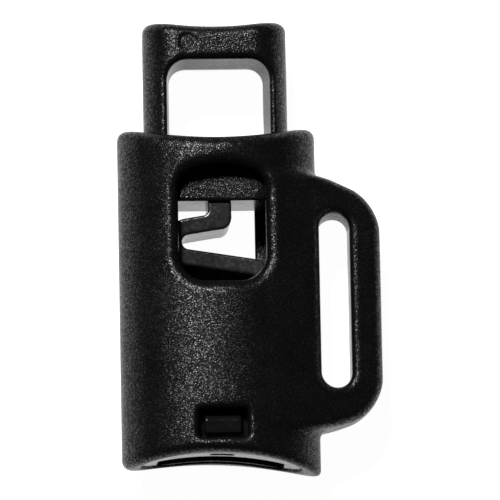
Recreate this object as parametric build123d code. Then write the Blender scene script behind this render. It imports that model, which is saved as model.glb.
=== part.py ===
from build123d import *
import math
import os

# Barrel cord lock with a push plunger, a moulded zigzag spring and a side loop for webbing.
# Frame: +X towards the strap loop, +Y along the plunger towards its thumb end, +Z out of the front face.
# The origin is the centre of the cord window. All sizes are millimetres.

# Barrel: an elliptical tube with hollowed ends
BARREL_HALF_WIDTH = 7.92
BARREL_HALF_DEPTH = 5.1
BARREL_TOP = 8.4
BARREL_BOTTOM = -19.6
TOP_HOLLOW = 1.35
BOTTOM_HOLLOW = 1.35
BOTTOM_SLANT = 0.25
TOP_CORNER_RADIUS = 1.1
BOTTOM_CORNER_RADIUS = 0.75
CAVITY_HALF_WIDTH = 6.45
CAVITY_HALF_DEPTH = 3.4
THROAT_LENGTH = 2.35

# Cord window, through the front and rear walls
WINDOW_LEFT = -3.2
WINDOW_RIGHT = 3.7
REAR_WINDOW_RIGHT = 3.2
WINDOW_TOP = 4.85
WINDOW_BOTTOM = -4.45
REAR_WINDOW_BOTTOM = -2.6
WINDOW_ARCH = 1.1
WINDOW_TOP_RADIUS = 0.8
WINDOW_BOTTOM_RADIUS = 2.1
REAR_WINDOW_BOTTOM_RADIUS = 0.8

# Latch windows and the tabs that snap into them
LATCH_Y = -15.95
LATCH_WINDOW_WIDTH = 3.9
LATCH_WINDOW_HEIGHT = 2.2
LATCH_TAB_WIDTH = 2.9
LATCH_TAB_HEIGHT = 1.5
LATCH_TAB_REACH = 4.2

# Base plug that closes the lower end
PLUG_CLEARANCE = 0.05
PLUG_TOP = -14.05
PLUG_RECESS = 0.15
PLUG_POCKET_WIDTH = 10.0
PLUG_POCKET_FRONT = 0.3
PLUG_POCKET_REAR = -2.8
PLUG_POCKET_TOP = -16.6
PLUG_NOTCH_WIDTH = 1.8
PLUG_NOTCH_FRONT = 1.9
PLUG_NOTCH_REAR = 1.1
PLUG_NOTCH_TOP = -17.2

# Strap loop: a wing that thins outwards on the middle plane, with a long slot for webbing
LOOP_ROOT_X = 6.0
LOOP_ROOT_HALF_THICKNESS = 3.5
LOOP_RIM_HALF_THICKNESS = 1.2
LOOP_EDGE_RADIUS = 0.6
LOOP_OUTER_X = 13.0
LOOP_TOP_JUNCTION_Y = 4.34
LOOP_TOP_SHOULDER_Y = 2.26
LOOP_TOP_RADIUS = 4.0
LOOP_BOTTOM_SHOULDER_Y = -14.78
LOOP_BOTTOM_JUNCTION_Y = -16.38
LOOP_BOTTOM_RADIUS = 3.3
SLOT_CENTRE_X = 9.3
SLOT_WIDTH = 2.36
SLOT_TOP = 1.15
SLOT_BOTTOM = -12.85

# Plunger: a frame that slides in the throat of the barrel
PLUNGER_CLEARANCE = 0.12
PLUNGER_HALF_WIDTH = 5.78
PLUNGER_HALF_DEPTH = 2.8
PLUNGER_TOP = 17.03
PLUNGER_HOLLOW = 0.62
PLUNGER_CORNER_RADIUS = 0.9
OPENING_HALF_WIDTH = 3.9
OPENING_TOP = 13.3
OPENING_TOP_RADIUS = 1.2
CLAMP_BAR_TOP = 5.85
CLAMP_BAR_BOTTOM = 2.15
SHOULDER_HALF_WIDTH = 6.3
SHOULDER_HALF_DEPTH = 3.25
SHOULDER_INNER_X = 4.7
PRESS_TRAVEL = 8.0
LEG_INNER_X = 4.45
LEG_STOP_GAP = 0.12

# Zigzag spring between the clamp bar and the base plug
SPRING_HALF_DEPTH = 2.33
SPRING_OUTER_X = 4.25
LEAF_THICKNESS = 1.3
LEAF_SLOPE = 9.0
FIRST_LEAF_Y = 0.55
LEAF_PITCH = 3.275
LEAF_COUNT = 5
STEM_LEFT_X = -0.8
STEM_RIGHT_X = 1.05
STEM_CORNER_RADIUS = 1.1

# Reach of the plain cutting blocks, well past every surface
CUT = 30.0


def bar_along_y(section, y_low, y_high):
    """A solid bar along Y with the given section."""
    end = Plane((0, y_high, 0), x_dir=(1, 0, 0), z_dir=(0, -1, 0))
    return extrude(end * section, amount=y_high - y_low)


def elliptic_bar(half_width, half_depth, y_low, y_high):
    """A bar of elliptical section."""
    return bar_along_y(Ellipse(half_width, half_depth), y_low, y_high)


def oblong_bar(half_width, half_depth, y_low, y_high):
    """A bar with flat front and rear faces and half-round sides."""
    return bar_along_y(SlotOverall(2 * half_width, 2 * half_depth), y_low, y_high)


def block(x_low, x_high, y_low, y_high, z_low=-CUT, z_high=CUT):
    """A plain box between two corners, used to cut and to keep stretches."""
    centre = ((x_low + x_high) / 2, (y_low + y_high) / 2, (z_low + z_high) / 2)
    return Pos(*centre) * Box(x_high - x_low, y_high - y_low, z_high - z_low)


def hollow_ended_slab(
    half_width, y_low, y_high, low_hollow, high_hollow, low_radius, high_radius, slant=0.0
):
    """A slab across Z with hollowed, round-cornered ends; slant lowers the right end of its bottom."""
    low_left, low_right = (-half_width, y_low + slant), (half_width, y_low - slant)
    bottom = ThreePointArc(low_left, (0, y_low + low_hollow), low_right)
    right = Line(low_right, (half_width, y_high))
    top = ThreePointArc((half_width, y_high), (0, y_high - high_hollow), (-half_width, y_high))
    left = Line((-half_width, y_high), low_left)
    outline = make_face([bottom, right, top, left])
    outline = fillet(outline.vertices().group_by(Axis.Y)[-1], high_radius)
    outline = fillet(outline.vertices().sort_by(Axis.Y)[:2], low_radius)
    return extrude(outline, amount=CUT, both=True)


def barrel_ends():
    """The slab that gives the barrel its plan outline."""
    return hollow_ended_slab(
        BARREL_HALF_WIDTH,
        BARREL_BOTTOM,
        BARREL_TOP,
        BOTTOM_HOLLOW,
        TOP_HOLLOW,
        BOTTOM_CORNER_RADIUS,
        TOP_CORNER_RADIUS,
        BOTTOM_SLANT,
    )


def cord_window(left, right, bottom, bottom_radius, z_low, z_high):
    """The cord passage through one wall: arched above, with rounded corners below."""
    side_top = WINDOW_TOP - WINDOW_ARCH
    arch = ThreePointArc((right, side_top), ((left + right) / 2, WINDOW_TOP), (left, side_top))
    sides = Polyline((left, side_top), (left, bottom), (right, bottom), (right, side_top))
    outline = make_face([arch, sides])
    outline = fillet(outline.vertices().group_by(Axis.Y)[0], bottom_radius)
    outline = fillet(outline.vertices().group_by(Axis.Y)[-1], WINDOW_TOP_RADIUS)
    return Pos(0, 0, z_low) * extrude(outline, amount=z_high - z_low)


def latch_window():
    """The rectangular windows, front and rear, that the latch tabs snap into."""
    half_width = LATCH_WINDOW_WIDTH / 2
    half_height = LATCH_WINDOW_HEIGHT / 2
    return block(-half_width, half_width, LATCH_Y - half_height, LATCH_Y + half_height)


def barrel_shell():
    """Elliptical tube with a narrower throat at the top, cord windows and latch windows."""
    throat_bottom = BARREL_TOP - THROAT_LENGTH
    tube = elliptic_bar(BARREL_HALF_WIDTH, BARREL_HALF_DEPTH, BARREL_BOTTOM, BARREL_TOP)
    cavity = oblong_bar(CAVITY_HALF_WIDTH, CAVITY_HALF_DEPTH, BARREL_BOTTOM, throat_bottom)
    throat = oblong_bar(
        PLUNGER_HALF_WIDTH + PLUNGER_CLEARANCE,
        PLUNGER_HALF_DEPTH + PLUNGER_CLEARANCE,
        throat_bottom,
        BARREL_TOP,
    )
    front_window = cord_window(
        WINDOW_LEFT, WINDOW_RIGHT, WINDOW_BOTTOM, WINDOW_BOTTOM_RADIUS, 0, CUT
    )
    rear_window = cord_window(
        WINDOW_LEFT, REAR_WINDOW_RIGHT, REAR_WINDOW_BOTTOM, REAR_WINDOW_BOTTOM_RADIUS, -CUT, 0
    )
    return (tube & barrel_ends()) - cavity - throat - front_window - rear_window - latch_window()


def wing_section():
    """Section of the wing in X and Z, thinner towards its outer rim."""
    slope = (LOOP_RIM_HALF_THICKNESS - LOOP_ROOT_HALF_THICKNESS) / (LOOP_OUTER_X - LOOP_ROOT_X)
    inside_x = BARREL_HALF_WIDTH / 2
    inside_z = LOOP_ROOT_HALF_THICKNESS + slope * (inside_x - LOOP_ROOT_X)
    outline = Polyline(
        (inside_x, -inside_z),
        (LOOP_OUTER_X, -LOOP_RIM_HALF_THICKNESS),
        (LOOP_OUTER_X, LOOP_RIM_HALF_THICKNESS),
        (inside_x, inside_z),
        close=True,
    )
    return bar_along_y(make_face(outline), -CUT, CUT)


def strap_loop():
    """Wing with a webbing slot, rounded along its rims, that grows out of the barrel's side."""
    inside_x = BARREL_HALF_WIDTH / 2
    corners = [
        (inside_x, LOOP_BOTTOM_JUNCTION_Y),
        (BARREL_HALF_WIDTH, LOOP_BOTTOM_JUNCTION_Y),
        (LOOP_OUTER_X, LOOP_BOTTOM_SHOULDER_Y),
        (LOOP_OUTER_X, LOOP_TOP_SHOULDER_Y),
        (BARREL_HALF_WIDTH, LOOP_TOP_JUNCTION_Y),
        (inside_x, LOOP_TOP_JUNCTION_Y),
    ]
    radii = [0, LOOP_EDGE_RADIUS, LOOP_BOTTOM_RADIUS, LOOP_TOP_RADIUS, LOOP_EDGE_RADIUS, 0]
    outline = make_face(FilletPolyline(*corners, radius=radii, close=True))
    slot = Rot(0, 0, 90) * SlotOverall(SLOT_TOP - SLOT_BOTTOM, SLOT_WIDTH)
    outline = outline - Pos(SLOT_CENTRE_X, (SLOT_TOP + SLOT_BOTTOM) / 2) * slot
    wing = extrude(outline, CUT, both=True) & wing_section()
    sloping = [face for face in wing.faces() if abs(face.normal_at().Z) > abs(face.normal_at().X)]
    sloping = [face for face in sloping if abs(face.normal_at().Z) > abs(face.normal_at().Y)]
    rims = [edge for face in sloping for edge in face.edges() if edge.center().X > inside_x + 1]
    wing = fillet(rims, LOOP_EDGE_RADIUS)
    return wing - elliptic_bar(BARREL_HALF_WIDTH, BARREL_HALF_DEPTH, -CUT, CUT)


def base_plug():
    """Plug in the lower end, hollowed below like the barrel, with a pocket and a notch underneath."""
    plug = oblong_bar(
        CAVITY_HALF_WIDTH - PLUG_CLEARANCE,
        CAVITY_HALF_DEPTH - PLUG_CLEARANCE,
        BARREL_BOTTOM,
        PLUG_TOP,
    )
    plug = plug & (Pos(0, PLUG_RECESS, 0) * barrel_ends())
    pocket_x = PLUG_POCKET_WIDTH / 2
    notch_x = PLUG_NOTCH_WIDTH / 2
    pocket = block(-pocket_x, pocket_x, -CUT, PLUG_POCKET_TOP, PLUG_POCKET_REAR, PLUG_POCKET_FRONT)
    notch = block(-notch_x, notch_x, -CUT, PLUG_NOTCH_TOP, PLUG_NOTCH_REAR, PLUG_NOTCH_FRONT)
    return plug - pocket - notch


def latch_tab(side):
    """Wedge on the plug that stands in the latch window; side is 1 in front and -1 behind."""
    root_z = CAVITY_HALF_DEPTH - PLUG_CLEARANCE
    half_height = LATCH_TAB_HEIGHT / 2
    profile = Plane.YZ * make_face(
        Polyline(
            (LATCH_Y - half_height, 0),
            (LATCH_Y + half_height, 0),
            (LATCH_Y + half_height, root_z),
            (LATCH_Y, LATCH_TAB_REACH),
            (LATCH_Y - half_height, LATCH_TAB_REACH),
            close=True,
        )
    )
    wedge = extrude(profile, LATCH_TAB_WIDTH / 2, both=True)
    wedge = wedge - oblong_bar(CAVITY_HALF_WIDTH - PLUG_CLEARANCE, root_z, -CUT, CUT)
    if side < 0:
        wedge = mirror(wedge, Plane.XY)
    return wedge


def plunger_frame():
    """The whole sliding frame before it is cut into its named stretches."""
    leg_bottom = PLUG_TOP + PRESS_TRAVEL + LEG_STOP_GAP
    head = oblong_bar(PLUNGER_HALF_WIDTH, PLUNGER_HALF_DEPTH, leg_bottom, PLUNGER_TOP)
    head = head & hollow_ended_slab(
        PLUNGER_HALF_WIDTH,
        leg_bottom - PLUNGER_HALF_WIDTH,
        PLUNGER_TOP,
        PLUNGER_HOLLOW,
        PLUNGER_HOLLOW,
        PLUNGER_CORNER_RADIUS,
        PLUNGER_CORNER_RADIUS,
    )
    opening = make_face(
        Polyline(
            (-OPENING_HALF_WIDTH, CLAMP_BAR_TOP),
            (OPENING_HALF_WIDTH, CLAMP_BAR_TOP),
            (OPENING_HALF_WIDTH, OPENING_TOP),
            (-OPENING_HALF_WIDTH, OPENING_TOP),
            close=True,
        )
    )
    opening = fillet(opening.vertices().group_by(Axis.Y)[-1], OPENING_TOP_RADIUS)
    spring_bay = block(-LEG_INNER_X, LEG_INNER_X, -CUT, CLAMP_BAR_BOTTOM)
    return head - extrude(opening, CUT, both=True) - spring_bay


def clamp_bar(frame):
    """Crossbar that closes on the cord, with the shoulders that stop under the throat."""
    shoulders = oblong_bar(
        SHOULDER_HALF_WIDTH, SHOULDER_HALF_DEPTH, CLAMP_BAR_BOTTOM, CLAMP_BAR_TOP
    )
    shoulders = shoulders - block(-SHOULDER_INNER_X, SHOULDER_INNER_X, -CUT, CUT)
    bar = frame & block(-CUT, CUT, CLAMP_BAR_BOTTOM, CLAMP_BAR_TOP)
    return bar + shoulders


def plunger_parts():
    """The frame as named stretches: thumb bar, rails, clamp bar and guide legs."""
    frame = plunger_frame()
    rail_top = OPENING_TOP - OPENING_TOP_RADIUS
    return {
        "thumb_bar": frame & block(-CUT, CUT, rail_top, CUT),
        "left_rail": frame & block(-CUT, 0, CLAMP_BAR_TOP, rail_top),
        "right_rail": frame & block(0, CUT, CLAMP_BAR_TOP, rail_top),
        "clamp_bar": clamp_bar(frame),
        "left_guide_leg": frame & block(-CUT, 0, -CUT, CLAMP_BAR_BOTTOM),
        "right_guide_leg": frame & block(0, CUT, -CUT, CLAMP_BAR_BOTTOM),
    }


def bend_radius():
    """Centre-line radius of the spring's bends, which meet the sloping leaves tangentially."""
    slope = math.radians(LEAF_SLOPE)
    reach = SPRING_OUTER_X - LEAF_THICKNESS / 2
    return (LEAF_PITCH / 2 * math.cos(slope) - reach * math.sin(slope)) / (1 - math.sin(slope))


def spring_bend(index):
    """Bend from one leaf to the next: on the left after the first leaf, then side by side in turn."""
    side = -1 if index % 2 == 0 else 1
    radius = bend_radius()
    centre_x = side * (SPRING_OUTER_X - LEAF_THICKNESS / 2 - radius)
    centre_y = FIRST_LEAF_Y - (index + 0.5) * LEAF_PITCH
    half_turn = math.radians(90 - LEAF_SLOPE)
    wedge = make_face(
        Polyline(
            (0, 0),
            (side * CUT * math.cos(half_turn), -side * CUT * math.sin(half_turn)),
            (side * CUT, -side * CUT),
            (side * CUT, side * CUT),
            (side * CUT * math.cos(half_turn), side * CUT * math.sin(half_turn)),
            close=True,
        )
    )
    ring = Circle(radius + LEAF_THICKNESS / 2) - Circle(radius - LEAF_THICKNESS / 2)
    return Pos(centre_x, centre_y) * (ring & wedge)


def spring_leaf(index, x_low, x_high):
    """One sloping leaf, kept between two places along X."""
    slope = LEAF_SLOPE if index % 2 == 0 else -LEAF_SLOPE
    band = Rot(0, 0, slope) * Rectangle(CUT, LEAF_THICKNESS)
    stretch = Pos((x_low + x_high) / 2, 0) * Rectangle(x_high - x_low, CUT)
    return Pos(0, FIRST_LEAF_Y - index * LEAF_PITCH) * (band & stretch)


def zigzag_spring():
    """Five leaves and four bends, with a stem up to the clamp bar and one down to the base plug."""
    radius = bend_radius()
    bend_x = SPRING_OUTER_X - LEAF_THICKNESS / 2 - radius
    straight = bend_x + radius * math.sin(math.radians(LEAF_SLOPE))
    top_leaf = spring_leaf(0, -straight, STEM_RIGHT_X)
    stem_middle = (STEM_LEFT_X + STEM_RIGHT_X) / 2
    stem_width = STEM_RIGHT_X - STEM_LEFT_X
    stem_height = CLAMP_BAR_BOTTOM - FIRST_LEAF_Y
    stem = Pos(stem_middle, CLAMP_BAR_BOTTOM - stem_height / 2) * Rectangle(stem_width, stem_height)
    top = top_leaf + stem
    corner = top.vertices().group_by(Axis.X)[-1].sort_by(Axis.Y)[0]
    outline = fillet(corner, STEM_CORNER_RADIUS)
    for index in range(LEAF_COUNT - 1):
        outline += spring_bend(index)
    for index in range(1, LEAF_COUNT - 1):
        outline += spring_leaf(index, -straight, straight)
    last = LEAF_COUNT - 1
    foot_top = FIRST_LEAF_Y - last * LEAF_PITCH
    outline += spring_leaf(last, -stem_width / 2, straight)
    foot_height = foot_top - PLUG_TOP
    outline += Pos(0, PLUG_TOP + foot_height / 2) * Rectangle(stem_width, foot_height)
    return extrude(outline, SPRING_HALF_DEPTH, both=True)


def all_parts():
    """Every sub-part by its node name."""
    parts = {
        "barrel_shell": barrel_shell(),
        "strap_loop": strap_loop(),
        "base_plug": base_plug(),
        "front_latch_tab": latch_tab(1),
        "rear_latch_tab": latch_tab(-1),
        "zigzag_spring": zigzag_spring(),
    }
    parts.update(plunger_parts())
    return parts


os.makedirs("parts", exist_ok=True)
for name, shape in all_parts().items():
    export_step(shape, f"parts/{name}.step")
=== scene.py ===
import math

import bpy
import numpy as np
from mathutils import Matrix, Vector


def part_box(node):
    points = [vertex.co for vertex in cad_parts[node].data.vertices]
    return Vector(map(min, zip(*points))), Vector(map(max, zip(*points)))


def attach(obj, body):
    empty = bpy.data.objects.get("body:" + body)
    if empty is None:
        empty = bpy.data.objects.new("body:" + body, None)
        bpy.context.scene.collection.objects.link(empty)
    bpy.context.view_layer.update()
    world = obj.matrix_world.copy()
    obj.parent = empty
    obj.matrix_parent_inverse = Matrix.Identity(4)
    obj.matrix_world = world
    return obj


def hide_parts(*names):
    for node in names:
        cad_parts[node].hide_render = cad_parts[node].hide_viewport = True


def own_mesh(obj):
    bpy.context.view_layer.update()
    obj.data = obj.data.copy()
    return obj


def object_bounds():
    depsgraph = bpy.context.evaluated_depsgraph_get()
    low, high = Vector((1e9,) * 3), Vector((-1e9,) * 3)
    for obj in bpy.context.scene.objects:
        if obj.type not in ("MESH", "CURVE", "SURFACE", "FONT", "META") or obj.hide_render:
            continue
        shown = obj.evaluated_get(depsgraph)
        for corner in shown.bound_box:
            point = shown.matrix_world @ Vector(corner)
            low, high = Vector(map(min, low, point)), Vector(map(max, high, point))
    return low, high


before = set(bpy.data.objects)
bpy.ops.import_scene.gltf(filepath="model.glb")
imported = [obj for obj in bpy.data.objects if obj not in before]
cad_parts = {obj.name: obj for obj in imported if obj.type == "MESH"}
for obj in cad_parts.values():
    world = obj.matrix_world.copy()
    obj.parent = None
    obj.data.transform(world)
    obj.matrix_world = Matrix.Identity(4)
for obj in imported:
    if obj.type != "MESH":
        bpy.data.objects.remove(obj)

CAD_BOX = [list(corner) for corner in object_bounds()]

# Cord lock in black plastic. Shapes are worked out in millimetres as distance fields, meshed, and
# written in metres. Frame: +X towards the strap loop, +Y along the plunger, +Z out of the front face.
MM = 0.001
CAD_LOW = np.array(CAD_BOX[0]) / MM


def box_mm(node):
    """Lowest and highest corner of a CAD node, in millimetres."""
    low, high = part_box(node)
    return np.array(low) / MM, np.array(high) / MM


SHELL_LOW, SHELL_HIGH = box_mm("barrel_shell")
LOOP_LOW, LOOP_HIGH = box_mm("strap_loop")
PLUG_LOW, PLUG_HIGH = box_mm("base_plug")
_, THUMB_HIGH = box_mm("thumb_bar")
CLAMP_LOW, CLAMP_HIGH = box_mm("clamp_bar")
LEG_LOW, _ = box_mm("right_guide_leg")
RAIL_LOW, _ = box_mm("right_rail")
SPRING_LOW, SPRING_HIGH = box_mm("zigzag_spring")
TAB_LOW, TAB_HIGH = box_mm("front_latch_tab")


# ---------------------------------------------------------------- distance fields


def circle_in(x, y, centre, radius):
    """Inside of a circle."""
    return np.hypot(x - centre[0], y - centre[1]) - radius


def ellipse(x, z, half_width, half_depth):
    """Inside of an ellipse in X and Z."""
    reach = np.sqrt((x / half_width) ** 2 + (z / half_depth) ** 2)
    slope = np.sqrt((x / half_width**2) ** 2 + (z / half_depth**2) ** 2)
    return reach * (reach - 1) / np.maximum(slope, 1e-6)


def union(a, b, radius=0.0):
    """Both shapes, with a fillet of the given radius in the corner between them."""
    if radius == 0:
        return np.minimum(a, b)
    corner = np.hypot(np.maximum(radius - a, 0), np.maximum(radius - b, 0))
    return np.maximum(radius, np.minimum(a, b)) - corner


def both(a, b, radius=0.0):
    """Where the two shapes overlap, with the edge between them rounded."""
    if np.all(np.equal(radius, 0)):
        return np.maximum(a, b)
    corner = np.hypot(np.maximum(radius + a, 0), np.maximum(radius + b, 0))
    return np.minimum(-radius, np.maximum(a, b)) + corner


def cut(a, b, radius=0.0):
    """The first shape without the second, with the edge rounded."""
    return both(a, -b, radius)


def box_2d(u, v, u_low, u_high, v_low, v_high, radius=0.0):
    """Inside of a rectangle with rounded corners."""
    across = np.abs(u - (u_low + u_high) / 2) - (u_high - u_low) / 2 + radius
    along = np.abs(v - (v_low + v_high) / 2) - (v_high - v_low) / 2 + radius
    outside = np.hypot(np.maximum(across, 0), np.maximum(along, 0))
    return outside + np.minimum(np.maximum(across, along), 0) - radius


def oblong(x, z, half_width, half_depth):
    """Inside of a section with flat front and rear faces and half-round sides."""
    return box_2d(x, z, -half_width, half_width, -half_depth, half_depth, half_depth)


def segment(x, y, start, end):
    """Distance to a straight run."""
    run = np.subtract(end, start)
    share = ((x - start[0]) * run[0] + (y - start[1]) * run[1]) / np.dot(run, run)
    share = np.clip(share, 0, 1)
    return np.hypot(x - start[0] - share * run[0], y - start[1] - share * run[1])


def half_plane(x, y, start, end):
    """Negative on the left of the line from start to end."""
    run = np.subtract(end, start) / np.hypot(*np.subtract(end, start))
    return (x - start[0]) * run[1] - (y - start[1]) * run[0]


# ---------------------------------------------------------------- mesher

EDGES = [(a, b) for a in range(8) for b in range(a + 1, 8) if bin(a ^ b).count("1") == 1]


def surface_net(field, low, high, step):
    """Vertices and quads of the field's zero surface, moved onto the surface itself."""
    low, high = np.array(low, float), np.array(high, float)
    counts = np.ceil((high - low) / step).astype(int) + 1
    axes = [low[i] + step * np.arange(counts[i]) for i in range(3)]
    values = field(*np.meshgrid(*axes, indexing="ij"))
    cells = [values[i : counts[0] - 1 + i, j : counts[1] - 1 + j, k : counts[2] - 1 + k]
             for i in (0, 1) for j in (0, 1) for k in (0, 1)]
    inside = sum((c < 0).astype(np.int8) for c in cells)
    active = np.argwhere((inside > 0) & (inside < 8))
    corner_values = np.stack([c[tuple(active.T)] for c in cells], axis=1)
    corners = np.array([(i, j, k) for i in (0, 1) for j in (0, 1) for k in (0, 1)], float)
    total = np.zeros((len(active), 3))
    crossings = np.zeros(len(active))
    for a, b in EDGES:
        va, vb = corner_values[:, a], corner_values[:, b]
        crossed = (va < 0) != (vb < 0)
        share = np.where(crossed, va / np.where(crossed, va - vb, 1), 0)
        place = corners[a] + share[:, None] * (corners[b] - corners[a])
        total += place * crossed[:, None]
        crossings += crossed
    points = low + step * (active + total / crossings[:, None])
    index = np.full(counts - 1, -1)
    index[tuple(active.T)] = np.arange(len(active))
    quads = [grid_quads(values, index, axis) for axis in range(3)]
    return settle(field, points, step), np.concatenate(quads)


def grid_quads(values, index, axis):
    """One quad round each crossed grid edge that runs along the axis."""
    first = np.moveaxis(values, axis, 0)
    order = np.moveaxis(index, axis, 0)
    here, there = first[:-1, 1:-1, 1:-1] < 0, first[1:, 1:-1, 1:-1] < 0
    n, u, v = np.nonzero(here != there)
    ring = [order[n, u, v], order[n, u + 1, v], order[n, u + 1, v + 1], order[n, u, v + 1]]
    quads = np.stack(ring, axis=1)
    flip = here[n, u, v] != (axis != 1)
    quads[flip] = quads[flip][:, ::-1]
    return quads


def settle(field, points, step):
    """Moves each vertex along the field's slope onto the zero surface."""
    nudge = step / 20
    for _ in range(4):
        value = field(*points.T)
        slope = np.stack(
            [
                (field(*(points + nudge * unit).T) - field(*(points - nudge * unit).T)) / (2 * nudge)
                for unit in np.eye(3)
            ],
            axis=1,
        )
        size = np.maximum((slope**2).sum(axis=1), 0.05)
        move = slope * (value / size)[:, None]
        length = np.maximum(np.linalg.norm(move, axis=1), 1e-9)
        points = points - move * np.minimum(1, 0.6 * step / length)[:, None]
    return points


def make_piece(name, field, low, high, step, material, other_material=None, takes_other=None):
    """A smooth-shaded mesh object of the field; some faces can take the other material."""
    points, quads = surface_net(field, np.array(low) - 2.5 * step, np.array(high) + 2.5 * step, step)
    mesh = bpy.data.meshes.new(name)
    mesh.from_pydata(points * MM, [], quads.tolist())
    mesh.validate()
    mesh.polygons.foreach_set("use_smooth", [True] * len(mesh.polygons))
    mesh.materials.append(material)
    if other_material:
        mesh.materials.append(other_material)
        centres = np.empty(3 * len(mesh.polygons))
        normals = np.empty(3 * len(mesh.polygons))
        mesh.polygons.foreach_get("center", centres)
        mesh.polygons.foreach_get("normal", normals)
        picked = takes_other(centres.reshape(-1, 3).T / MM, normals.reshape(-1, 3).T)
        mesh.polygons.foreach_set("material_index", picked.astype(np.int32))
    piece = bpy.data.objects.new(name, mesh)
    bpy.context.scene.collection.objects.link(piece)
    return piece


# ---------------------------------------------------------------- barrel and strap loop

HALF_WIDTH = SHELL_HIGH[0]
HALF_DEPTH = SHELL_HIGH[2]
TOP_MIDDLE, BOTTOM_MIDDLE, BOTTOM_MIDDLE_X = 7.05, -18.22, -0.8
TOP_HOLLOW_RADIUS, BOTTOM_HOLLOW_RADIUS = 23.2, 24.0
TOP_RIM, BOTTOM_RIM, BOTTOM_RIM_CHANGE, INNER_RIM = 1.0, 0.75, 0.03, 0.12
PLUG_GAP, THROAT_GAP, SHOULDER_GAP = 0.05, 0.12, 0.2
CAVITY_HALF_WIDTH = PLUG_HIGH[0] + PLUG_GAP
CAVITY_HALF_DEPTH = PLUG_HIGH[2] + PLUG_GAP
THROAT_FLOOR = CLAMP_HIGH[1] + SHOULDER_GAP
WINDOW_TOP, WINDOW_BOTTOM, REAR_WINDOW_BOTTOM = 4.75, -4.5, -2.6
WINDOW_LEFT, WINDOW_RIGHT, REAR_WINDOW_RIGHT = -3.24, 3.72, 3.2
WINDOW_ARCH_RADIUS, WINDOW_ARCH_CORNER, WINDOW_LIP = 6.9, 0.7, 1.05
WINDOW_CORNER, REAR_WINDOW_CORNER = 2.2, 0.8
LATCH_WINDOW = (-1.95, 1.95, -17.05, -14.85)
LATCH_CORNER, LATCH_LIP = 0.3, 0.5
# The wing's faces slope down outwards, and curve away inside the barrel, where the wing ends
WING_X, WING_THICKNESS, WING_SLOPE = 6.0, 3.5, 0.33
WING_BURIED_X, WING_BURIED_CURVE, WING_END_X = 5.2, 0.2, 1
LOOP_RIM, SLOT_LIP, LOOP_FILLET = 0.8, 0.7, 0.8
LOOP_OUTER = LOOP_HIGH[0]
LOOP_TOP, LOOP_TOP_SHOULDER, LOOP_TOP_CORNER = 4.34, 2.26, 2.35
LOOP_BOTTOM, LOOP_BOTTOM_SHOULDER, LOOP_BOTTOM_CORNER = -16.38, -14.78, 2.7
LOOP_ROOT_CORNER = 0.6
SLOT_X, SLOT_RADIUS, SLOT_ENDS = 9.26, 1.19, (-11.62, -0.05)
SLOT_DRAFT, SLOT_WALL_REACH, WALL_TILT = 0.02, 0.3, 0.45


def hollow_end(x, y, middle, radius, up, middle_x=0.0):
    """Inside of an end that is hollowed across X; up is 1 for the top and -1 for the bottom."""
    return radius - np.hypot(x - middle_x, y - middle - up * radius)


def loop_outline(x, y):
    """Inside of the strap loop's outer outline in plan."""
    side = x - LOOP_OUTER
    upper = half_plane(x, y, (LOOP_OUTER, LOOP_TOP_SHOULDER), (HALF_WIDTH, LOOP_TOP))
    upper = both(upper, y - LOOP_TOP, LOOP_ROOT_CORNER)
    lower = half_plane(x, y, (HALF_WIDTH, LOOP_BOTTOM), (LOOP_OUTER, LOOP_BOTTOM_SHOULDER))
    lower = both(lower, LOOP_BOTTOM - y, LOOP_ROOT_CORNER)
    return both(both(side, upper, LOOP_TOP_CORNER), lower, LOOP_BOTTOM_CORNER)


def cord_window(x, y, right, bottom, corner):
    """Inside of the cord window in plan: arched above, large corner roundings below."""
    middle = (WINDOW_LEFT + right) / 2
    sides = np.abs(x - middle) - (right - WINDOW_LEFT) / 2
    arch = circle_in(x, y, (middle, WINDOW_TOP - WINDOW_ARCH_RADIUS), WINDOW_ARCH_RADIUS)
    return both(both(sides, bottom - y, corner), arch, WINDOW_ARCH_CORNER)


def webbing_slot(x, y):
    """Inside of the long slot in plan, on the middle plane."""
    return segment(x, y, (SLOT_X, SLOT_ENDS[0]), (SLOT_X, SLOT_ENDS[1])) - SLOT_RADIUS


def wing_field(x, y, z):
    """Strap loop without its slot: a wing that thins outwards."""
    faces = np.abs(z) - WING_THICKNESS + WING_SLOPE * (x - WING_X)
    faces = faces + WING_BURIED_CURVE * np.maximum(WING_BURIED_X - x, 0) ** 2
    wing = both(loop_outline(x, y), faces / math.hypot(1, WING_SLOPE), LOOP_RIM)
    return both(wing, WING_END_X - x)


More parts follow.
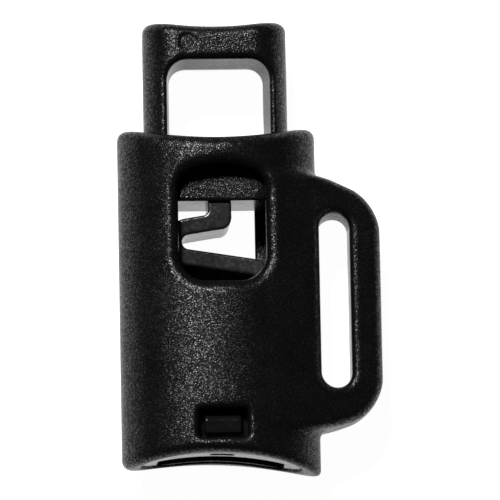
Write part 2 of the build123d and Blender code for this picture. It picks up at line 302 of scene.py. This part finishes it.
def barrel_field(x, y, z):
    """Barrel with its strap loop, as one moulding."""
    tube = ellipse(x, z, HALF_WIDTH, HALF_DEPTH)
    tube = both(tube, hollow_end(x, y, TOP_MIDDLE, TOP_HOLLOW_RADIUS, 1), TOP_RIM)
    bottom = hollow_end(x, y, BOTTOM_MIDDLE, BOTTOM_HOLLOW_RADIUS, -1, BOTTOM_MIDDLE_X)
    tube = both(tube, bottom, BOTTOM_RIM - BOTTOM_RIM_CHANGE * x)
    shape = union(tube, wing_field(x, y, z), LOOP_FILLET)
    shape = cut(shape, webbing_slot(x, y) - SLOT_DRAFT * np.abs(z), SLOT_LIP)
    front = cord_window(x, y, WINDOW_RIGHT, WINDOW_BOTTOM, WINDOW_CORNER)
    shape = cut(shape, both(front, -z), WINDOW_LIP)
    rear = cord_window(x, y, REAR_WINDOW_RIGHT, REAR_WINDOW_BOTTOM, REAR_WINDOW_CORNER)
    shape = cut(shape, both(rear, z), WINDOW_LIP)
    shape = cut(shape, box_2d(x, y, *LATCH_WINDOW, LATCH_CORNER), LATCH_LIP)
    cavity = both(oblong(x, z, CAVITY_HALF_WIDTH, CAVITY_HALF_DEPTH), y - THROAT_FLOOR)
    throat = oblong(x, z, THUMB_HIGH[0] + THROAT_GAP, THUMB_HIGH[2] + THROAT_GAP)
    throat = both(throat, -y)
    return cut(shape, union(cavity, throat), INNER_RIM)


def slot_wall(centre, normal):
    """Smooth faces of the webbing slot's inner wall, all but its upper end."""
    x, y, _ = centre
    near_slot = webbing_slot(x, y) < SLOT_WALL_REACH
    return near_slot & (np.abs(normal[2]) < WALL_TILT) & (y < SLOT_ENDS[1])


# ---------------------------------------------------------------- plunger

PLUNGER_TOP_MIDDLE, PLUNGER_HOLLOW_RADIUS, PLUNGER_RIM = 16.41, 27.0, 0.9
LEG_END_RIM, BAY_CORNER, BAY_LIP = 0.2, 0.3, 0.12
# The opening widens from the middle plane towards both faces, and more so on the right
OPENING_X, OPENING_SIDE = 0.08, RAIL_LOW[0] - 0.13
OPENING_TOP, OPENING_CORNER, OPENING_LIP = 13.25, 1.3, 0.45
OPENING_DRAFT, OPENING_LEAN = 0.17, 0.07
SHOULDER_IN, SHOULDER_DEPTH, SHOULDER_DROP = 4.7, 3.2, 0.05
SHOULDER_RIM, SHOULDER_FILLET = 0.2, 0.15
EJECTOR_MARK, EJECTOR_RADIUS, EJECTOR_DEPTH, EJECTOR_LIP = (-2.2, 15.05), 0.7, 0.09, 0.06
SMOOTH_HALF_WIDTH, SMOOTH_BELOW, SMOOTH_ABOVE, UNDERSIDE_REACH = 4.8, 0.5, 1, 0.3
# Further out than any surface, where a shape needs no end of its own
FAR_X, FAR_BELOW = 9, -30


def plunger_field(x, y, z):
    """Thumb bar, rails, clamp bar and guide legs, as one moulding."""
    half_width, half_depth = THUMB_HIGH[0], THUMB_HIGH[2]
    head = oblong(x, z, half_width, half_depth)
    head = both(head, hollow_end(x, y, PLUNGER_TOP_MIDDLE, PLUNGER_HOLLOW_RADIUS, 1), PLUNGER_RIM)
    head = both(head, LEG_LOW[1] - y, LEG_END_RIM)
    draft = OPENING_DRAFT * np.abs(z)
    across = x - OPENING_X - OPENING_LEAN * np.abs(z)
    opening = box_2d(
        across, y, -OPENING_SIDE, OPENING_SIDE, CLAMP_HIGH[1], OPENING_TOP, OPENING_CORNER
    )
    shape = cut(head, opening - draft, OPENING_LIP)
    mark = both(circle_in(x, y, EJECTOR_MARK, EJECTOR_RADIUS), half_depth - EJECTOR_DEPTH - z)
    shape = cut(shape, mark, EJECTOR_LIP)
    shoulders = oblong(x, z, CLAMP_HIGH[0], SHOULDER_DEPTH)
    band_top = CLAMP_HIGH[1] - SHOULDER_DROP
    band = box_2d(np.abs(x), y, SHOULDER_IN, FAR_X, CLAMP_LOW[1], band_top, SHOULDER_RIM)
    shape = union(shape, both(shoulders, band, SHOULDER_RIM), SHOULDER_FILLET)
    bay = box_2d(x, y, -LEG_LOW[0], LEG_LOW[0], FAR_BELOW, CLAMP_LOW[1], BAY_CORNER)
    return cut(shape, bay, BAY_LIP)


def opening_wall(centre, normal):
    """Inner walls of the frame's opening and the clamp bar's underside, which are smooth."""
    x, y, _ = centre
    in_height = (y > CLAMP_HIGH[1] - SMOOTH_BELOW) & (y < OPENING_TOP + SMOOTH_ABOVE)
    in_opening = (np.abs(x) < SMOOTH_HALF_WIDTH) & in_height & (np.abs(normal[2]) < 0.5)
    under_bar = (y < CLAMP_LOW[1] + UNDERSIDE_REACH) & (normal[1] < -0.5)
    return in_opening | under_bar


# ---------------------------------------------------------------- spring

LEAF_HALF = 0.66
LEAF_TAN = math.tan(math.radians(9))
LEAF_COUNT = 5
FIRST_LEAF, LEAF_PITCH = 0.55, 3.275
STEM_LEFT, STEM_RIGHT, STEM_BOTTOM, STEM_CORNER = -0.8, 1.05, 0.13, 0.9
TOP_LEAF_END = 0.2
FOOT_HALF_WIDTH, FOOT_CORNER = 0.92, 0.1
SPRING_FILLET, SPRING_EDGE = 0.35, 0.14
# A distance larger than any other, and a length that ends inside the neighbouring piece
FAR_AWAY, PAST_END = 99.0, 1


def bend_radius():
    """Centre-line radius of the bends, tangent to the leaves on both sides."""
    slope = math.atan(LEAF_TAN)
    reach = SPRING_HIGH[0] - LEAF_HALF
    return (LEAF_PITCH / 2 * math.cos(slope) - reach * math.sin(slope)) / (1 - math.sin(slope))


def leaf_plan(x, y):
    """Distance to the centre-line of the five leaves and four bends."""
    radius = bend_radius()
    centre_x = SPRING_HIGH[0] - LEAF_HALF - radius
    reach = centre_x + radius * math.sin(math.atan(LEAF_TAN))
    distance = np.full(np.shape(x), FAR_AWAY)
    for leaf in range(LEAF_COUNT):
        tilt = LEAF_TAN if leaf % 2 == 0 else -LEAF_TAN
        centre_y = FIRST_LEAF - leaf * LEAF_PITCH
        left = -reach if leaf < LEAF_COUNT - 1 else 0.0
        right = reach if leaf > 0 else TOP_LEAF_END
        run = segment(x, y, (left, centre_y + tilt * left), (right, centre_y + tilt * right))
        distance = np.minimum(distance, run)
        if leaf < LEAF_COUNT - 1:
            side = -1 if leaf % 2 == 0 else 1
            u, v = side * x - centre_x, y - (centre_y - LEAF_PITCH / 2)
            arc = np.where(u > 0, np.abs(np.hypot(u, v) - radius), FAR_AWAY)
            distance = np.minimum(distance, arc)
    return distance


def spring_field(x, y, z):
    """Zigzag of flat leaves, with a stem up to the clamp bar and a foot down to the plug."""
    plan = leaf_plan(x, y) - LEAF_HALF
    stem_top = SPRING_HIGH[1] + PAST_END
    stem = box_2d(x, y, STEM_LEFT, STEM_RIGHT, STEM_BOTTOM, stem_top, STEM_CORNER)
    plan = union(plan, stem, SPRING_FILLET)
    foot_top = FIRST_LEAF - (LEAF_COUNT - 1) * LEAF_PITCH
    foot_bottom = SPRING_LOW[1] - PAST_END
    foot = box_2d(x, y, -FOOT_HALF_WIDTH, FOOT_HALF_WIDTH, foot_bottom, foot_top, FOOT_CORNER)
    plan = union(plan, foot, SPRING_FILLET)
    solid = both(plan, np.abs(z) - SPRING_HIGH[2], SPRING_EDGE)
    return both(both(solid, y - SPRING_HIGH[1]), SPRING_LOW[1] - y)


# ---------------------------------------------------------------- base plug and latch tabs

PLUG_RECESS, PLUG_RIM = 0.15, 0.2
POCKET, POCKET_TOP, POCKET_CORNER, POCKET_LIP = (-5.0, 5.0, -2.8, 0.3), -16.6, 0.3, 0.12
NOTCH, NOTCH_TOP, NOTCH_CORNER, NOTCH_LIP = (-0.9, 0.9, 1.1, 1.9), -17.2, 0.2, 0.1
TAB_CORNER, TAB_EDGE, TAB_FILLET, TAB_ROOT_Z = 0.15, 0.12, 0.1, 2.0
TAB_SLOPE, TAB_SLOPE_DROP = (0.72, 0.7), 0.35


def plug_field(x, y, z):
    """Plug with its hollowed underside, pocket, notch and the two latch tabs."""
    plug = oblong(x, z, PLUG_HIGH[0], PLUG_HIGH[2])
    middle = BOTTOM_MIDDLE + PLUG_RECESS
    end = hollow_end(x, y, middle, BOTTOM_HOLLOW_RADIUS, -1, BOTTOM_MIDDLE_X)
    plug = both(plug, end, PLUG_RIM)
    plug = both(plug, y - PLUG_HIGH[1], PLUG_RIM)
    pocket = both(box_2d(x, z, *POCKET, POCKET_CORNER), y - POCKET_TOP)
    plug = cut(plug, pocket, POCKET_LIP)
    notch = both(box_2d(x, z, *NOTCH, NOTCH_CORNER), y - NOTCH_TOP)
    plug = cut(plug, notch, NOTCH_LIP)
    return union(plug, tab_field(x, y, z), TAB_FILLET)


def tab_field(x, y, z):
    """Front and rear latch tabs, with their upper edges sloped off."""
    tab = box_2d(x, y, TAB_LOW[0], TAB_HIGH[0], TAB_LOW[1], TAB_HIGH[1], TAB_CORNER)
    past_face = np.abs(z) - TAB_HIGH[2]
    slope = past_face * TAB_SLOPE[0] + (y - TAB_HIGH[1] + TAB_SLOPE_DROP) * TAB_SLOPE[1]
    tab = both(both(tab, past_face, TAB_EDGE), slope, TAB_EDGE)
    return both(tab, TAB_ROOT_Z - np.abs(z))


# ---------------------------------------------------------------- materials


def node(tree, kind, **inputs):
    """Adds a shader node and sets its plain inputs by name."""
    made = tree.nodes.new(kind)
    for name, value in inputs.items():
        made.inputs[name.replace("_", " ")].default_value = value
    return made


def black_plastic(name, colour, roughness, grain_mm, bump_strength, specks):
    """Moulded black plastic: eroded grain with glinting specks, faint mottling, uneven gloss."""
    material = bpy.data.materials.new(name)
    material.use_nodes = True
    tree = material.node_tree
    tree.nodes.clear()
    link = tree.links.new
    place = tree.nodes.new("ShaderNodeTexCoord")
    shader = node(tree, "ShaderNodeBsdfPrincipled", IOR=1.5)
    out = tree.nodes.new("ShaderNodeOutputMaterial")
    link(shader.outputs[0], out.inputs["Surface"])

    fine = node(tree, "ShaderNodeTexNoise", Scale=1 / (grain_mm * MM), Detail=1.0, Roughness=0.6)
    link(place.outputs["Object"], fine.inputs["Vector"])
    cells = node(tree, "ShaderNodeTexVoronoi", Scale=1 / (0.8 * grain_mm * MM), Randomness=1.0)
    link(place.outputs["Object"], cells.inputs["Vector"])
    broad = node(tree, "ShaderNodeTexNoise", Scale=1 / (3.5 * MM), Detail=3.0, Roughness=0.6)
    link(place.outputs["Object"], broad.inputs["Vector"])

    height = tree.nodes.new("ShaderNodeMath")
    height.operation = "MULTIPLY_ADD"
    link(cells.outputs["Distance"], height.inputs[0])
    height.inputs[1].default_value = 0.6
    link(fine.outputs["Fac"], height.inputs[2])
    bump = node(tree, "ShaderNodeBump", Strength=bump_strength, Distance=0.04 * MM)
    link(height.outputs[0], bump.inputs["Height"])
    link(bump.outputs["Normal"], shader.inputs["Normal"])

    glint = node(tree, "ShaderNodeMapRange", From_Min=0.56, From_Max=0.86)
    glint.inputs["To Min"].default_value = specks[0]
    glint.inputs["To Max"].default_value = specks[1]
    link(cells.outputs["Color"], glint.inputs["Value"])
    link(glint.outputs["Result"], shader.inputs["Specular IOR Level"])

    mix = tree.nodes.new("ShaderNodeMath")
    mix.operation = "MULTIPLY_ADD"
    link(fine.outputs["Fac"], mix.inputs[0])
    mix.inputs[1].default_value = 0.5
    link(broad.outputs["Fac"], mix.inputs[2])
    gloss = node(tree, "ShaderNodeMapRange", From_Min=0.45, From_Max=1.05)
    gloss.inputs["To Min"].default_value = roughness[0]
    gloss.inputs["To Max"].default_value = roughness[1]
    link(mix.outputs[0], gloss.inputs["Value"])
    link(gloss.outputs["Result"], shader.inputs["Roughness"])

    shade = tree.nodes.new("ShaderNodeMix")
    shade.data_type = "RGBA"
    link(broad.outputs["Fac"], shade.inputs["Factor"])
    shade.inputs["A"].default_value = (*[c * 0.75 for c in colour], 1)
    shade.inputs["B"].default_value = (*[c * 1.35 for c in colour], 1)
    link(shade.outputs["Result"], shader.inputs["Base Color"])
    return material


# ---------------------------------------------------------------- stage

VIEW_CENTRE = Vector((2.6, -1.45, 0)) * MM
PITCH, YAW, ROLL = math.radians(8.9), math.radians(3.0), math.radians(1.1)
CAMERA_DISTANCE = 0.5
VIEW_WIDTH = 40 * MM
SENSOR_MM = 36
FLOOR_HALF_SIZE, FLOOR_GREY, FLOOR_GLOW = 1.5, 0.4, 0.97
WORLD_STRENGTH = 0.03
FLASH = {"tilt_x": -16, "tilt_y": 30, "distance": 0.9, "size": 0.2, "power": 13.0}


def add_camera():
    """Camera that looks down on the front face, a little from the lower left."""
    back = Vector((-math.sin(YAW), -math.sin(PITCH), math.cos(PITCH))).normalized()
    data = bpy.data.cameras.new("camera")
    data.sensor_width = SENSOR_MM
    data.lens = SENSOR_MM * CAMERA_DISTANCE / VIEW_WIDTH
    data.clip_start, data.clip_end = 0.01, 10
    camera = bpy.data.objects.new("camera", data)
    bpy.context.scene.collection.objects.link(camera)
    camera.rotation_mode = "QUATERNION"
    right = Vector((0, 1, 0)).cross(back).normalized()
    turn = Matrix((right, back.cross(right), back)).transposed().to_4x4()
    camera.matrix_world = (
        Matrix.Translation(VIEW_CENTRE + back * CAMERA_DISTANCE)
        @ turn
        @ Matrix.Rotation(-ROLL, 4, "Z")
    )
    bpy.context.scene.camera = camera


def add_floor():
    """Pale paper that the lock lies on."""
    mesh = bpy.data.meshes.new("floor")
    z = CAD_LOW[2] * MM
    size = FLOOR_HALF_SIZE
    corners = [(-size, -size, z), (size, -size, z), (size, size, z), (-size, size, z)]
    mesh.from_pydata(corners, [], [(0, 1, 2, 3)])
    floor = bpy.data.objects.new("floor", mesh)
    bpy.context.scene.collection.objects.link(floor)
    material = bpy.data.materials.new("paper")
    material.use_nodes = True
    shader = material.node_tree.nodes["Principled BSDF"]
    shader.inputs["Base Color"].default_value = (FLOOR_GREY, FLOOR_GREY, FLOOR_GREY, 1)
    shader.inputs["Roughness"].default_value = 0.9
    shader.inputs["Emission Color"].default_value = (1, 1, 1, 1)
    shader.inputs["Emission Strength"].default_value = FLOOR_GLOW
    mesh.materials.append(material)


def add_light(name, tilt_x, tilt_y, distance, size, power):
    """Area light that faces the lock from straight above, tilted towards X and Y in degrees."""
    across, along = math.tan(math.radians(tilt_x)), math.tan(math.radians(tilt_y))
    direction = Vector((across, along, 1)).normalized()
    data = bpy.data.lights.new(name, "AREA")
    data.shape = "DISK"
    data.size = size
    data.energy = power
    light = bpy.data.objects.new(name, data)
    bpy.context.scene.collection.objects.link(light)
    light.rotation_mode = "QUATERNION"
    light.location = direction * distance
    light.rotation_quaternion = direction.to_track_quat("Z", "Y")
    light.visible_camera = False


def add_world(strength):
    """Soft even light from all round."""
    world = bpy.data.worlds.new("world")
    world.use_nodes = True
    background = world.node_tree.nodes["Background"]
    background.inputs["Color"].default_value = (1, 1, 1, 1)
    background.inputs["Strength"].default_value = strength
    bpy.context.scene.world = world


# ---------------------------------------------------------------- pieces

STEP = 0.17
PLUNGER_NODES = [
    "thumb_bar", "left_rail", "right_rail", "clamp_bar", "left_guide_leg", "right_guide_leg"
]


def add_barrel(outer, smooth):
    """Barrel with its strap loop."""
    low, high = np.minimum(SHELL_LOW, LOOP_LOW), np.maximum(SHELL_HIGH, LOOP_HIGH)
    barrel = make_piece(
        "barrel_with_loop", barrel_field, low, high, STEP, outer, smooth, slot_wall
    )
    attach(barrel, "barrel")
    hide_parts("barrel_shell", "strap_loop")


def add_plunger(outer, smooth):
    """The sliding frame."""
    low = np.array([CLAMP_LOW[0], LEG_LOW[1], CLAMP_LOW[2]])
    high = np.array([CLAMP_HIGH[0], THUMB_HIGH[1], CLAMP_HIGH[2]])
    plunger = make_piece(
        "plunger_frame", plunger_field, low, high, STEP, outer, smooth, opening_wall
    )
    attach(plunger, "plunger")
    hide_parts(*PLUNGER_NODES)


def add_spring(smooth):
    """Zigzag spring, hung on the barrel with its own copy of the mesh."""
    spring = make_piece(
        "leaf_spring", spring_field, SPRING_LOW, SPRING_HIGH, STEP * 0.7, smooth
    )
    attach(spring, "barrel")
    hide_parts("zigzag_spring")
    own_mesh(spring)


def add_plug(satin):
    """Base plug with its two latch tabs."""
    low = np.array([PLUG_LOW[0], PLUG_LOW[1], -TAB_HIGH[2]])
    high = np.array([PLUG_HIGH[0], PLUG_HIGH[1], TAB_HIGH[2]])
    plug = make_piece("plug_with_latches", plug_field, low, high, STEP * 0.8, satin)
    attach(plug, "barrel")
    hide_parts("base_plug", "front_latch_tab", "rear_latch_tab")


def main():
    """Makes the stage and the four pieces, and joins them to the frame."""
    add_camera()
    add_floor()
    add_world(WORLD_STRENGTH)
    add_light("flash", **FLASH)
    bpy.context.scene.view_settings.view_transform = "Standard"

    outer = black_plastic(
        "outer_grain", (0.003, 0.003, 0.0031), (0.22, 0.36), 0.10, 0.5, (0.05, 0.6)
    )
    smooth = black_plastic(
        "inner_smooth", (0.006, 0.006, 0.0063), (0.16, 0.30), 0.3, 0.12, (0.5, 0.9)
    )
    satin = black_plastic(
        "plug_satin", (0.004, 0.004, 0.0042), (0.10, 0.20), 0.3, 0.12, (0.10, 0.35)
    )
    add_barrel(outer, smooth)
    add_plunger(outer, smooth)
    add_spring(smooth)
    add_plug(satin)


main()
